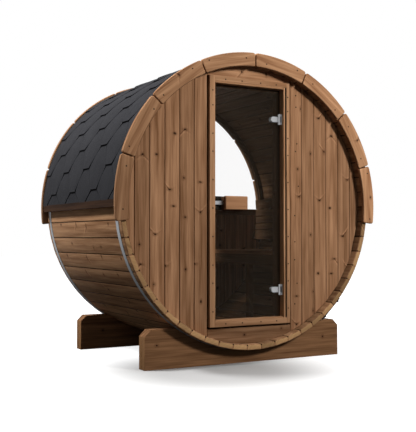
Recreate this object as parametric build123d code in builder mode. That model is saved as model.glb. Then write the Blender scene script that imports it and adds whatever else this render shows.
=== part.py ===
"""Barrel sauna: a wooden barrel on two runners, with a shingled roof and a glass door.

Frame: X to the right, Y towards the rear wall, Z up. The origin is on the ground,
in the middle of the barrel's length. All sizes are in millimetres.
"""

import os
from math import asin, atan2, cos, degrees, hypot, radians, sin, sqrt

from build123d import *

os.makedirs("parts", exist_ok=True)

# Barrel of staves
barrel_outer_radius = 987
stave_thickness = 40
stave_length = 1404
stave_count = 54
staves_per_group = 6
barrel_bottom_height = 92
fit_gap = 0.3

# Runners under the barrel
runner_length = 1552
runner_height = 258
runner_thickness = 89
runner_corner_cut = 43
runner_inset = 112

# Steel hoops
hoop_width = 40
hoop_thickness = 1.5
hoop_inset = 70
hoop_bolt_angle = -46.7
hoop_bolt_length = 210
hoop_bolt_radius = 5
hoop_bolt_standoff = 30
hoop_ear_spacing = 150
hoop_ear_thickness = 8
hoop_ear_width = 26
hoop_nut_radius = 9

# Roof
deck_thickness = 24.6
shingle_thickness = 8
eave_top_rise = 16
eave_board_height = 48
eave_board_thickness = 31

# Arched trim on both ends
trim_thickness = 28
trim_inner_lip = 11
trim_outer_lip = 8
trim_span = 194.4
trim_piece_count = 8
trim_joint_gap = 7
trim_corner_radius = 10
trim_edge_radius = 6

# End walls
wall_setback = 52
wall_thickness = 38

# Door opening, frame and posts
opening_half_width = 336
header_bottom_height = 1942
sill_board_top_height = 242
frame_half_width = 318
frame_bottom_height = 256
frame_top_height = 1940
frame_bar_width = 45
frame_sill_width = 47
frame_proud = 14
post_width = 90
post_depth = 92
cross_rail_depth = 45
lintel_height = 56
threshold_height = 95
threshold_drop = 3
stop_width = 18
stop_thickness = 20

# Glass door
glass_thickness = 8
glass_setback = 49
door_gap = 5.5
hinge_side_gap = 7

# Door hinges
hinge_axis_inset = 16
hinge_axis_offset = 13
lower_hinge_inset = 180.5
upper_hinge_inset = 203.5
clamp_length = 65
clamp_height = 38
clamp_thickness = 10
clamp_back_shortening = 7
clamp_bush_radius = 7
clamp_bush_inset = 30
knuckle_radius = 8
hinge_pin_radius = 4
pin_clearance = 0.05
knuckle_end_gap = 0.5
hinge_plate_height = 74
hinge_plate_width = 30
hinge_plate_thickness = 3

# Door handle and latch
handle_width = 174
handle_height = 92
handle_thickness = 32
handle_edge_radius = 5
handle_left_x = -202
handle_bottom_height = 1042
handle_standoff = 23
handle_bolt_spacing = 100
handle_spacer_radius = 8
handle_bolt_radius = 4
latch_length = 60
latch_height = 27
latch_thickness = 10
latch_edge_inset = 6
latch_corner_radius = 4

# Rear wall and half-moon window
window_sill_height = 1097
window_rail_height = 50
window_glass_thickness = 8
window_glass_gap = 1
window_bead_width = 37

# Benches
bench_front_x = 385
bench_top_height = 753
bench_slat_count = 5
bench_slat_gap = 10
bench_slat_thickness = 28
bench_end_gap = 4
bench_wall_gap = 6
apron_height = 80
apron_thickness = 28
bearer_height = 60
bearer_width = 40
bench_post_width = 40

# Backrests
backrest_radius = 850
backrest_slat_thickness = 28
backrest_slat_width = 53
backrest_edge_slat_width = 76
backrest_slat_gap = 7
backrest_centre_rise = 254
backrest_bracket_width = 40
backrest_bracket_spacing = 450
backrest_end_gap = 12

# Sizes that follow from the driving dimensions
barrel_inner_radius = barrel_outer_radius - stave_thickness
axis_height = barrel_bottom_height + barrel_outer_radius
fitted_radius = barrel_inner_radius - fit_gap
stave_end = stave_length / 2
trim_face = stave_end + trim_thickness
hoop_inner_radius = barrel_outer_radius + fit_gap
hoop_outer_radius = hoop_inner_radius + hoop_thickness
deck_inner_radius = hoop_outer_radius + fit_gap
deck_outer_radius = deck_inner_radius + deck_thickness
shingle_inner_radius = deck_outer_radius + fit_gap
shingle_outer_radius = shingle_inner_radius + shingle_thickness
trim_inner_radius = barrel_inner_radius - trim_inner_lip
trim_outer_radius = shingle_outer_radius + trim_outer_lip
wall_front = -(stave_end - wall_setback)
wall_back = wall_front + wall_thickness
frame_front = wall_front - frame_proud
frame_inner_half_width = frame_half_width - frame_bar_width
frame_sill_top = frame_bottom_height + frame_sill_width
frame_head_bottom = frame_top_height - frame_sill_width
glass_front = frame_front + glass_setback
glass_back = glass_front + glass_thickness
glass_left_x = -frame_inner_half_width + door_gap
glass_right_x = frame_inner_half_width - hinge_side_gap
glass_bottom = frame_sill_top + door_gap
glass_top = frame_head_bottom - door_gap
hinge_heights = (glass_bottom + lower_hinge_inset, glass_top - upper_hinge_inset)
hinge_x = frame_inner_half_width - hinge_axis_inset
hinge_y = glass_front - hinge_axis_offset


def barrel_section(back_y):
    """Cross-section plane on the barrel axis: a profile extruded from it grows forwards from back_y."""
    return Plane(origin=(0, back_y, axis_height), x_dir=(1, 0, 0), z_dir=(0, -1, 0))


def ring_sector(inner_radius, outer_radius, start_angle, end_angle):
    """Sector of a flat ring round the barrel axis, with its angles counted from the right-hand side."""
    sweep = end_angle - start_angle
    with BuildSketch() as sector:
        with BuildLine():
            outer = CenterArc((0, 0), outer_radius, start_angle, sweep)
            inner = CenterArc((0, 0), inner_radius, start_angle, sweep)
            Line(outer @ 0, inner @ 0)
            Line(outer @ 1, inner @ 1)
        make_face()
    return sector.sketch


def disc_slice(left_x, right_x, low_height, high_height, radius=fitted_radius):
    """Part of the barrel's inner disc that lies between two sides and two heights above the ground."""
    centre = ((left_x + right_x) / 2, (low_height + high_height) / 2 - axis_height)
    with BuildSketch() as piece:
        Circle(radius)
        with Locations(centre):
            Rectangle(right_x - left_x, high_height - low_height, mode=Mode.INTERSECT)
    return piece.sketch


def save(builder, name):
    """Label a finished piece and write its file."""
    builder.part.label = name
    export_step(builder.part, f"parts/{name}.step")


# Runners: two laminated boards each, with the barrel's curve cut out of the top
for name, back_y in (
    ("runner_front", -trim_face + runner_inset + runner_thickness),
    ("runner_rear", trim_face - runner_inset),
):
    with BuildPart() as runner:
        with BuildSketch(barrel_section(back_y)) as runner_profile:
            with Locations((0, runner_height / 2 - axis_height)):
                Rectangle(runner_length, runner_height)
            top_corners = runner_profile.vertices().group_by(Axis.Y)[-1]
            chamfer(top_corners, runner_corner_cut)
            Circle(barrel_outer_radius + fit_gap, mode=Mode.SUBTRACT)
        extrude(amount=runner_thickness)
    save(runner, name)

# Barrel: groups of staves, counted from the lowest seam towards the right
group_count = stave_count // staves_per_group
group_angle = 360 / group_count
lowest_seam_angle = -90 - 180 / stave_count
for group in range(group_count):
    group_start = lowest_seam_angle + group * group_angle
    with BuildPart() as stave_group:
        with BuildSketch(barrel_section(stave_end)):
            add(ring_sector(barrel_inner_radius, barrel_outer_radius, group_start, group_start + group_angle))
        extrude(amount=stave_length)
    save(stave_group, f"barrel_staves_{group + 1}")

# Hoops: a steel band round the barrel, two ears and the bolt that pulls it tight
bolt_path_radius = hoop_outer_radius + hoop_bolt_standoff
ear_height = hoop_bolt_standoff + hoop_nut_radius
bolt_direction = (-sin(radians(hoop_bolt_angle)), 0, cos(radians(hoop_bolt_angle)))
outward = (cos(radians(hoop_bolt_angle)), 0, sin(radians(hoop_bolt_angle)))
ear_half_angle = degrees(atan2(hoop_ear_spacing / 2, bolt_path_radius))
for name, back_y in (
    ("hoop_front", -trim_face + hoop_inset + hoop_width),
    ("hoop_rear", trim_face - hoop_inset),
):
    hoop_middle_y = back_y - hoop_width / 2
    bolt_plane = Plane(
        origin=(
            outward[0] * bolt_path_radius,
            hoop_middle_y,
            axis_height + outward[2] * bolt_path_radius,
        ),
        x_dir=(0, 1, 0),
        z_dir=bolt_direction,
    )
    with BuildPart() as hoop:
        with BuildSketch(barrel_section(back_y)):
            Circle(hoop_outer_radius)
            Circle(hoop_inner_radius, mode=Mode.SUBTRACT)
        extrude(amount=hoop_width)
        for side in (-1, 1):
            ear_angle = hoop_bolt_angle + side * ear_half_angle
            ear_plane = Plane(
                origin=(
                    cos(radians(ear_angle)) * (hoop_outer_radius - hoop_thickness / 2),
                    hoop_middle_y,
                    axis_height + sin(radians(ear_angle)) * (hoop_outer_radius - hoop_thickness / 2),
                ),
                x_dir=(0, 1, 0),
                z_dir=(cos(radians(ear_angle)), 0, sin(radians(ear_angle))),
            )
            with BuildSketch(ear_plane):
                Rectangle(hoop_ear_width, hoop_ear_thickness)
            extrude(amount=ear_height)
        with BuildSketch(bolt_plane):
            Circle(hoop_bolt_radius)
        extrude(amount=hoop_bolt_length / 2, both=True)
        for side in (-1, 1):
            nut_plane = bolt_plane.offset(side * (hoop_ear_spacing / 2 + hoop_ear_thickness))
            with BuildSketch(nut_plane):
                RegularPolygon(hoop_nut_radius, 6)
            extrude(amount=hoop_ear_thickness / 2, both=True)
    save(hoop, name)

# Roof: deck and shingles over the upper half, with an eave board under each lower edge
roof_start_height = eave_top_rise + fit_gap
roof_start_angle = max(
    degrees(asin(roof_start_height / radius)) for radius in (deck_inner_radius, shingle_outer_radius)
)
for side_name, start_angle, end_angle in (
    ("right", roof_start_angle, 90),
    ("left", 90, 180 - roof_start_angle),
):
    with BuildPart() as roof_deck:
        with BuildSketch(barrel_section(stave_end)):
            add(ring_sector(deck_inner_radius, deck_outer_radius, start_angle, end_angle))
        extrude(amount=stave_length)
    save(roof_deck, f"roof_deck_{side_name}")
    with BuildPart() as shingles:
        with BuildSketch(barrel_section(stave_end)):
            add(ring_sector(shingle_inner_radius, shingle_outer_radius, start_angle, end_angle))
        extrude(amount=stave_length)
    save(shingles, f"shingles_{side_name}")

with BuildPart() as eave_boards:
    eave_middle_height = eave_top_rise - eave_board_height / 2
    eave_middle_x = deck_inner_radius + eave_board_thickness / 2
    with BuildSketch(barrel_section(stave_end)):
        with Locations((-eave_middle_x, eave_middle_height), (eave_middle_x, eave_middle_height)):
            Rectangle(eave_board_thickness, eave_board_height)
    extrude(amount=stave_length)
save(eave_boards, "eave_boards")

# Arched trim: curved boards that cover the ends of the upper staves and of the roof
trim_pitch = trim_span / trim_piece_count
trim_gap_angle = degrees(trim_joint_gap / ((trim_inner_radius + trim_outer_radius) / 2))
trim_start_angle = 90 - trim_span / 2
for name, back_y, face_order in (
    ("front_trim", -stave_end, 0),
    ("rear_trim", trim_face, -1),
):
    with BuildPart() as trim:
        with BuildSketch(barrel_section(back_y)) as trim_profile:
            for piece in range(trim_piece_count):
                piece_start = trim_start_angle + piece * trim_pitch + trim_gap_angle / 2
                piece_end = piece_start + trim_pitch - trim_gap_angle
                add(ring_sector(trim_inner_radius, trim_outer_radius, piece_start, piece_end))
            fillet(trim_profile.vertices(), trim_corner_radius)
        extrude(amount=trim_thickness)
        outer_faces = trim.faces().group_by(Axis.Y)[face_order]
        fillet(outer_faces.edges(), trim_edge_radius)
    save(trim, name)

# Front wall: boards beside the door opening, a header above it and a sill board below
barrel_low = axis_height - barrel_inner_radius
barrel_high = axis_height + barrel_inner_radius
for name, left_x, right_x, low, high in (
    ("front_wall_left", -barrel_inner_radius, -opening_half_width, barrel_low, barrel_high),
    ("front_wall_right", opening_half_width, barrel_inner_radius, barrel_low, barrel_high),
    ("front_header", -opening_half_width, opening_half_width, header_bottom_height, barrel_high),
    ("front_sill_board", -opening_half_width, opening_half_width, barrel_low, sill_board_top_height),
):
    with BuildPart() as wall_panel:
        with BuildSketch(barrel_section(wall_back)):
            add(disc_slice(left_x, right_x, low, high))
        extrude(amount=wall_thickness)
    save(wall_panel, name)

# Door posts stand behind the wall, and a lintel and a threshold join them
post_inner_x = frame_inner_half_width
post_outer_x = post_inner_x + post_width
with BuildPart() as door_posts:
    with BuildSketch(barrel_section(wall_back + post_depth)):
        add(disc_slice(post_inner_x, post_outer_x, barrel_low, barrel_high))
        add(disc_slice(-post_outer_x, -post_inner_x, barrel_low, barrel_high))
    extrude(amount=post_depth)
save(door_posts, "door_posts")

threshold_top = frame_sill_top - threshold_drop
with BuildPart() as door_cross_rails:
    with BuildSketch(barrel_section(wall_back + cross_rail_depth)):
        add(disc_slice(-post_inner_x, post_inner_x, frame_head_bottom, frame_head_bottom + lintel_height))
        add(disc_slice(-post_inner_x, post_inner_x, threshold_top - threshold_height, threshold_top))
    extrude(amount=cross_rail_depth)
save(door_cross_rails, "door_cross_rails")

# Door frame: two stiles from top to bottom, with the head and the sill between them
frame_depth = wall_back - frame_front
with BuildPart() as frame_stiles:
    stile_x = frame_half_width - frame_bar_width / 2
    frame_middle_height = (frame_bottom_height + frame_top_height) / 2 - axis_height
    with BuildSketch(barrel_section(wall_back)):
        with Locations((-stile_x, frame_middle_height), (stile_x, frame_middle_height)):
            Rectangle(frame_bar_width, frame_top_height - frame_bottom_height)
    extrude(amount=frame_depth)
save(frame_stiles, "door_frame_stiles")

for name, low in (
    ("door_frame_head", frame_head_bottom),
    ("door_frame_sill", frame_bottom_height),
):
    with BuildPart() as frame_bar:
        with BuildSketch(barrel_section(wall_back)):
            with Locations((0, low + frame_sill_width / 2 - axis_height)):
                Rectangle(2 * frame_inner_half_width, frame_sill_width)
        extrude(amount=frame_depth)
    save(frame_bar, name)

# Door stop: a batten behind the glass, down the latch side and across the head
stop_front = glass_back + door_gap
with BuildPart() as door_stop:
    with BuildSketch(barrel_section(stop_front + stop_thickness)):
        with Locations((0, (threshold_top + frame_head_bottom) / 2 - axis_height)):
            Rectangle(2 * frame_inner_half_width, frame_head_bottom - threshold_top)
        with Locations((stop_width / 2, (threshold_top + frame_head_bottom) / 2 - stop_width / 2 - axis_height)):
            Rectangle(
                2 * frame_inner_half_width - stop_width,
                frame_head_bottom - threshold_top - stop_width,
                mode=Mode.SUBTRACT,
            )
    extrude(amount=stop_thickness)
save(door_stop, "door_stop")

# Glass door leaf, drilled for the two clamps and the two handle bolts
clamp_bush_x = hinge_x - clamp_length + clamp_bush_inset
handle_middle_x = handle_left_x + handle_width / 2
handle_middle_height = handle_bottom_height + handle_height / 2
handle_bolt_places = [
    (handle_middle_x + side * handle_bolt_spacing / 2, handle_middle_height - axis_height)
    for side in (-1, 1)
]
clamp_bush_places = [(clamp_bush_x, height - axis_height) for height in hinge_heights]
glass_middle = ((glass_left_x + glass_right_x) / 2, (glass_bottom + glass_top) / 2 - axis_height)
with BuildPart() as door_glass:
    with BuildSketch(barrel_section(glass_back)):
        with Locations(glass_middle):
            Rectangle(glass_right_x - glass_left_x, glass_top - glass_bottom)
        with Locations(*handle_bolt_places):
            Circle(handle_bolt_radius + fit_gap, mode=Mode.SUBTRACT)
        with Locations(*clamp_bush_places):
            Circle(clamp_bush_radius + fit_gap, mode=Mode.SUBTRACT)
    extrude(amount=glass_thickness)
save(door_glass, "door_glass")


def clamp_plate(length, height):
    """Side view of a clamp plate, from the hinge axis to its rounded end on the left."""
    with BuildSketch() as plate:
        with Locations((hinge_x - length / 2, height - axis_height)):
            Rectangle(length, clamp_height)
        fillet(plate.vertices().group_by(Axis.X)[0], clamp_height / 2 - fit_gap)
    return plate.sketch


# Hinge clamps: two plates grip the glass, and the front one ends in a knuckle on the pin
with BuildPart() as hinge_clamps:
    for height in hinge_heights:
        with BuildSketch(barrel_section(glass_front)):
            add(clamp_plate(clamp_length, height))
        extrude(amount=clamp_thickness)
        with BuildSketch(barrel_section(glass_back + clamp_thickness)) as back_plate:
            add(clamp_plate(clamp_length, height))
            with Locations((hinge_x, height - axis_height)):
                Rectangle(2 * clamp_back_shortening, clamp_height, mode=Mode.SUBTRACT)
        extrude(amount=clamp_thickness)
        with BuildSketch(barrel_section(glass_back)):
            with Locations((clamp_bush_x, height - axis_height)):
                Circle(clamp_bush_radius)
        extrude(amount=glass_thickness)
        with BuildSketch(Plane.XY.offset(height - clamp_height / 2)):
            with Locations((hinge_x, hinge_y)):
                Circle(knuckle_radius)
        extrude(amount=clamp_height)
        with BuildSketch(Plane.XY.offset(height - clamp_height / 2)):
            with Locations((hinge_x, hinge_y)):
                Circle(hinge_pin_radius + pin_clearance)
        extrude(amount=clamp_height, mode=Mode.SUBTRACT)
save(hinge_clamps, "hinge_clamps")

# Hinge plates on the right stile: two lugs hold the pin above and below each clamp
lug_gap_half = clamp_height / 2 + knuckle_end_gap
lug_height = hinge_plate_height / 2 - lug_gap_half
plate_left_x = frame_inner_half_width - hinge_plate_thickness
with BuildPart() as hinge_plates:
    for height in hinge_heights:
        plate_bottom = height - hinge_plate_height / 2
        with BuildSketch(Plane.XY.offset(plate_bottom)):
            with Locations((frame_inner_half_width - hinge_plate_thickness / 2, hinge_y)):
                Rectangle(hinge_plate_thickness, hinge_plate_width)
        extrude(amount=hinge_plate_height)
        for lug_bottom in (plate_bottom, height + lug_gap_half):
            with BuildSketch(Plane.XY.offset(lug_bottom)):
                with Locations((hinge_x, hinge_y)):
                    Circle(knuckle_radius)
                with Locations(((hinge_x + plate_left_x) / 2, hinge_y)):
                    Rectangle(plate_left_x - hinge_x, 2 * knuckle_radius)
            extrude(amount=lug_height)
        with BuildSketch(Plane.XY.offset(plate_bottom)):
            with Locations((hinge_x, hinge_y)):
                Circle(hinge_pin_radius)
        extrude(amount=hinge_plate_height)
save(hinge_plates, "hinge_plates")

# Handle: a wooden block on each side of the glass, held off it by two bolts with spacers
for name, back_y in (
    ("handle_outside", glass_front - handle_standoff),
    ("handle_inside", glass_back + handle_standoff + handle_thickness),
):
    with BuildPart() as handle_block:
        with BuildSketch(barrel_section(back_y)):
            with Locations((handle_middle_x, handle_middle_height - axis_height)):
                Rectangle(handle_width, handle_height)
        extrude(amount=handle_thickness)
        fillet(handle_block.edges(), handle_edge_radius)
    save(handle_block, name)

with BuildPart() as handle_bolts:
    for spacer_back in (glass_front, glass_back + handle_standoff):
        with BuildSketch(barrel_section(spacer_back)):
            with Locations(*handle_bolt_places):
                Circle(handle_spacer_radius)
        extrude(amount=handle_standoff)
    with BuildSketch(barrel_section(glass_back)):
        with Locations(*handle_bolt_places):
            Circle(handle_bolt_radius)
    extrude(amount=glass_thickness)
save(handle_bolts, "handle_bolts")

# Latch: a small metal case on the free edge of the glass, beside the handle
with BuildPart() as door_latch:
    latch_middle_x = glass_left_x + latch_edge_inset + latch_length / 2
    with BuildSketch(barrel_section(glass_front)):
        with Locations((latch_middle_x, handle_middle_height - axis_height)):
            RectangleRounded(latch_length, latch_height, latch_corner_radius)
    extrude(amount=latch_thickness)
    fillet(door_latch.faces().sort_by(Axis.Y)[0].edges(), latch_corner_radius / 2)
save(door_latch, "door_latch")

# Rear wall: boards up to the rail, and a half-moon window held by beads above it
rear_wall_outside = stave_end - wall_setback
rear_wall_inside = rear_wall_outside - wall_thickness
window_rail_bottom = window_sill_height - window_rail_height
for name, low, high in (
    ("rear_wall", barrel_low, window_rail_bottom),
    ("window_rail", window_rail_bottom, window_sill_height),
):
    with BuildPart() as rear_panel:
        with BuildSketch(barrel_section(rear_wall_outside)):
            add(disc_slice(-barrel_inner_radius, barrel_inner_radius, low, high))
        extrude(amount=wall_thickness)
    save(rear_panel, name)

window_glass_back = (rear_wall_inside + rear_wall_outside + window_glass_thickness) / 2
window_glass_bottom = window_sill_height + fit_gap
with BuildPart() as window_glass:
    with BuildSketch(barrel_section(window_glass_back)):
        add(
            disc_slice(
                -barrel_inner_radius,
                barrel_inner_radius,
                window_glass_bottom,
                barrel_high,
                fitted_radius - window_glass_gap,
            )
        )
    extrude(amount=window_glass_thickness)
save(window_glass, "window_glass")

bead_inner_radius = barrel_inner_radius - window_bead_width
bead_depth = (wall_thickness - window_glass_thickness) / 2 - fit_gap
with BuildPart() as window_beads:
    for bead_back in (rear_wall_inside + bead_depth, rear_wall_outside):
        with BuildSketch(barrel_section(bead_back)):
            add(disc_slice(-barrel_inner_radius, barrel_inner_radius, window_glass_bottom, barrel_high))
            add(
                disc_slice(
                    -barrel_inner_radius,
                    barrel_inner_radius,
                    barrel_low,
                    barrel_high,
                    bead_inner_radius,
                ),
                mode=Mode.SUBTRACT,
            )
        extrude(amount=bead_depth)
save(window_beads, "window_beads")

# Benches: slats on three bearers, an apron at the front edge and a post in the middle
slat_bottom = bench_top_height - bench_slat_thickness
slat_outer_x = sqrt(fitted_radius**2 - (axis_height - slat_bottom) ** 2) - bench_wall_gap
slat_width = (slat_outer_x - bench_front_x + bench_slat_gap) / bench_slat_count - bench_slat_gap
bearer_bottom = slat_bottom - bearer_height
apron_bottom = slat_bottom - apron_height
room_front = wall_back
room_back = rear_wall_inside
bench_length = room_back - room_front - 2 * bench_end_gap
backrest_length = room_back - room_front - 2 * backrest_end_gap
slat_widths = [
    backrest_edge_slat_width,
    backrest_slat_width,
    backrest_slat_width,
    backrest_slat_width,
    backrest_edge_slat_width,
]
backrest_height = sum(slat_widths) + backrest_slat_gap * (len(slat_widths) - 1)
bracket_inner_radius = (
    hypot(backrest_radius + backrest_slat_thickness, backrest_edge_slat_width / 2) + fit_gap
)
for side_name, side in (("right", 1), ("left", -1)):
    with BuildPart() as bench_slats:
        with BuildSketch(barrel_section(room_back - bench_end_gap)):
            for slat in range(bench_slat_count):
                slat_middle_x = bench_front_x + slat_width / 2 + slat * (slat_width + bench_slat_gap)
                with Locations((side * slat_middle_x, bench_top_height - bench_slat_thickness / 2 - axis_height)):
                    Rectangle(slat_width, bench_slat_thickness)
        extrude(amount=bench_length)
    save(bench_slats, f"bench_slats_{side_name}")

    bench_side_x = sorted((side * bench_front_x, side * barrel_inner_radius))
    post_side_x = sorted((side * bench_front_x, side * (bench_front_x + bench_post_width)))
    apron_middle_x = side * (bench_front_x + apron_thickness / 2)
    with BuildPart() as bench_frame:
        with BuildSketch(barrel_section(room_back - bench_end_gap)):
            with Locations((apron_middle_x, slat_bottom - apron_height / 2 - axis_height)):
                Rectangle(apron_thickness, apron_height)
        extrude(amount=bench_length)
        for bearer_back in (room_front + bearer_width, bearer_width / 2, room_back):
            with BuildSketch(barrel_section(bearer_back)):
                add(disc_slice(*bench_side_x, bearer_bottom, slat_bottom))
            extrude(amount=bearer_width)
        with BuildSketch(barrel_section(bench_post_width / 2)):
            add(disc_slice(*post_side_x, barrel_low, slat_bottom))
        extrude(amount=bench_post_width)
    save(bench_frame, f"bench_frame_{side_name}")

    # Backrest: slats set round a curve, on brackets that follow the barrel wall
    backrest_centre_height = bench_top_height + backrest_centre_rise - axis_height
    middle_angle = degrees(asin(backrest_centre_height / backrest_radius))
    half_span = degrees(backrest_height / backrest_radius / 2)
    with BuildPart() as backrest:
        travelled = -backrest_height / 2
        for width in slat_widths:
            slat_angle = middle_angle + degrees((travelled + width / 2) / backrest_radius)
            travelled += width + backrest_slat_gap
            slat_turn = slat_angle if side == 1 else 180 - slat_angle
            slat_centre_radius = backrest_radius + backrest_slat_thickness / 2
            slat_centre = (
                slat_centre_radius * cos(radians(slat_turn)),
                slat_centre_radius * sin(radians(slat_turn)),
            )
            with BuildSketch(barrel_section(room_back - backrest_end_gap)):
                with Locations(Location(slat_centre, slat_turn)):
                    Rectangle(backrest_slat_thickness, width)
            extrude(amount=backrest_length)
        for bracket_y in (-backrest_bracket_spacing, 0, backrest_bracket_spacing):
            angles = sorted(
                angle if side == 1 else 180 - angle
                for angle in (middle_angle - half_span, middle_angle + half_span)
            )
            with BuildSketch(barrel_section(bracket_y + backrest_bracket_width / 2)):
                add(ring_sector(bracket_inner_radius, fitted_radius, *angles))
            extrude(amount=backrest_bracket_width)
    save(backrest, f"backrest_{side_name}")
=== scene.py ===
"""Looks of the barrel sauna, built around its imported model. Units are metres, Z is up."""

import math

import bmesh
import bpy
import numpy as np
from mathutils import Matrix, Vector


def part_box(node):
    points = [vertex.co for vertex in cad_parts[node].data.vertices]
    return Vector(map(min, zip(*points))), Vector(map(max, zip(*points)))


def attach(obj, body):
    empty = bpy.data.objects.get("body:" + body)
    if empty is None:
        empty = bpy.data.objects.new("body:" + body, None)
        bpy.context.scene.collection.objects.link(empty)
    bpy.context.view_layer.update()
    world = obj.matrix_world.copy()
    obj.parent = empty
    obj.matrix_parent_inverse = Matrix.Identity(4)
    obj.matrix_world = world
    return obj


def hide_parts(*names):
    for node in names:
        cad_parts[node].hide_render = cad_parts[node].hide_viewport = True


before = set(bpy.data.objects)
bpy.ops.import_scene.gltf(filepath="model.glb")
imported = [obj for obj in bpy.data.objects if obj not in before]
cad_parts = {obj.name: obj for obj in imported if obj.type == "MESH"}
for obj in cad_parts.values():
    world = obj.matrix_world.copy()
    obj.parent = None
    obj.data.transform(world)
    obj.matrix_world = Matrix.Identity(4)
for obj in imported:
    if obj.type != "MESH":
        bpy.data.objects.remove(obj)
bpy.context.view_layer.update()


# Barrel of staves
# The barrel is 54 planed staves of heat-treated softwood, laid lengthwise and drawn together by
# two hoops. Each stave has eased edges, so a narrow groove shows at every seam, inside and out.
CABIN = "cabin"
BARREL_LOW, BARREL_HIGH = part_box("barrel_staves_1")
BARREL_FRONT = BARREL_LOW.y
BARREL_BACK = BARREL_HIGH.y
STAVE_OUTER = 0.987
STAVE_INNER = 0.947
AXIS_HEIGHT = 1.079
STAVE_COUNT = 54
STAVES_PER_GROUP = 6
STAVE_EDGE = 0.006
STAVE_FACE = 0.9856
STAVE_BEAD = 0.005
SEAM_OVERLAP = 0.0003
# Each board is cut from its own place along this much grain
GRAIN_STOCK = 5
STAVE_LIGHT = (190, 147, 110)
STAVE_DARK = (130, 92, 64)
STAVE_END = (188, 150, 106)
# Painted shade: the staves' inner faces and the trim's inner edges are darkened towards this colour
PAINTED_SHADE_DARK = (30, 21, 15)
PAINTED_SHADE_SHARE = 0.32
# The front wall stands between these two depths
WALL_DEPTHS = (-0.64, -0.61)
rng = np.random.default_rng(7)


def linear(rgb):
    """Linear colour of an sRGB colour given as 0 to 255: the standard display curve, undone."""
    share = np.asarray(rgb, float) / 255
    low = share / 12.92
    high = ((share + 0.055) / 1.055) ** 2.4
    return (*np.where(share <= 0.04045, low, high), 1.0)


class Value:
    """An output in a node tree. Arithmetic on it adds Math nodes."""

    def __init__(self, graph, socket):
        self.graph = graph
        self.socket = socket

    def math(self, operation, other=0.0):
        return self.graph.add("ShaderNodeMath", {"operation": operation}, {0: self, 1: other})

    def __add__(self, other):
        return self.math("ADD", other)

    __radd__ = __add__

    def __mul__(self, other):
        return self.math("MULTIPLY", other)

    __rmul__ = __mul__

    def __sub__(self, other):
        return self.math("SUBTRACT", other)

    def __rsub__(self, other):
        return self.graph.add("ShaderNodeMath", {"operation": "SUBTRACT"}, {0: other, 1: self})

    def step(self, low, high):
        """0 below low and 1 above high, smoothly. With low above high it falls instead."""
        return self.graph.add(
            "ShaderNodeMapRange",
            {"interpolation_type": "SMOOTHSTEP"},
            {"Value": self, "From Min": low, "From Max": high},
        )


class Graph:
    """The nodes of a material or of the world, and the shader that they feed."""

    def __init__(self, owner, shader="Principled BSDF"):
        owner.use_nodes = True
        self.owner = owner
        self.tree = owner.node_tree
        self.shader = self.tree.nodes[shader]

    def add(self, kind, settings=None, inputs=None, output=0):
        """A node of one kind, with its settings, and values or links for its sockets."""
        node = self.tree.nodes.new(kind)
        for key, value in (settings or {}).items():
            setattr(node, key, value)
        for key, value in (inputs or {}).items():
            self.plug(node.inputs[key], value)
        return Value(self, node.outputs[output])

    def plug(self, socket, value):
        if isinstance(value, Value):
            self.tree.links.new(value.socket, socket)
        else:
            socket.default_value = value

    def spot(self):
        """Where a point is, in metres."""
        return self.add("ShaderNodeTexCoord", output="Object")

    def point(self, x=0.0, y=0.0, z=0.0):
        return self.add("ShaderNodeCombineXYZ", {}, {0: x, 1: y, 2: z})

    def split(self, vector):
        parts = self.add("ShaderNodeSeparateXYZ", {}, {0: vector})
        node = parts.socket.node
        return [Value(self, node.outputs[axis]) for axis in range(3)]

    def mark(self, label):
        """A number that the mesh carries for each point or face."""
        return self.add("ShaderNodeAttribute", {"attribute_name": label}, output="Fac")

    def noise(self, vector, scale, detail=2.0, roughness=0.5):
        return self.add(
            "ShaderNodeTexNoise",
            {},
            {"Vector": vector, "Scale": scale, "Detail": detail, "Roughness": roughness},
        )

    def mix(self, share, first, second, blend="MIX"):
        settings = {"data_type": "RGBA", "blend_type": blend}
        return self.add("ShaderNodeMix", settings, {0: share, 6: first, 7: second}, output=2)

    def bump(self, height, distance):
        sockets = {"Strength": 1.0, "Distance": distance, "Height": height}
        return self.add("ShaderNodeBump", {}, sockets, "Normal")

    def surface(self, **sockets):
        for name, value in sockets.items():
            self.plug(self.shader.inputs[name.replace("_", " ")], value)
        return self.owner


def distance(first, second):
    """How far a point lies off in two directions at once: the root of the sum of their squares."""
    return (first * first + second * second).math("SQRT")


def from_axis(graph):
    """A point's distance from the barrel's axis, and its place along it."""
    x, y, z = graph.split(graph.spot())
    return distance(x, z - AXIS_HEIGHT), y


# A mark in the wood fades between two distances: beyond the first it is gone, and within the
# second it is full
KNOT_HEART = (0.0085, 0.0035)
KNOT_RING = (0.021, 0.009)
KNOT_HALO = (0.06, 0.004)
PALE_WING = (0.013, 0.001)
DARK_WING = (0.0085, 0.002)
WING_REACH = (0.066, 0.03)
DARK_WING_REACH = (0.058, 0.03)
WING_GAP = 0.012
WING_BEND = 6.0
WING_PALER = 1.16
WING_DARK = (86, 54, 36)
KNOT_DARK = (52, 34, 25)
HEART_STRENGTH = 0.95
RING_STRENGTH = 0.35
PALE_STRENGTH = 0.45
DARK_STRENGTH = 0.75
KNOT_PITCH = 0.29
KNOT_ROOM = 0.075
JOINT_DARK = (15, 10, 8)
BOARD_SHIFT = 7.3
BLOCK_WIDTH = 0.094
BLOCK_LEAN = 0.73
BLOCK_SHIFT = 40.0
GRAIN_RELIEF = 0.0006
DULL = 0.02


def board_place(graph):
    """Where a point is on its board: along the grain and across it, the board's number and tone,
    whether it is end grain, and how far it faces the next board."""
    along, across, _ = graph.split(graph.add("ShaderNodeUVMap", {"uv_map": "grain"}))
    carried = [graph.mark(label) for label in ("board", "tone", "end_grain", "side")]
    return (along, across, *carried)


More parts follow.
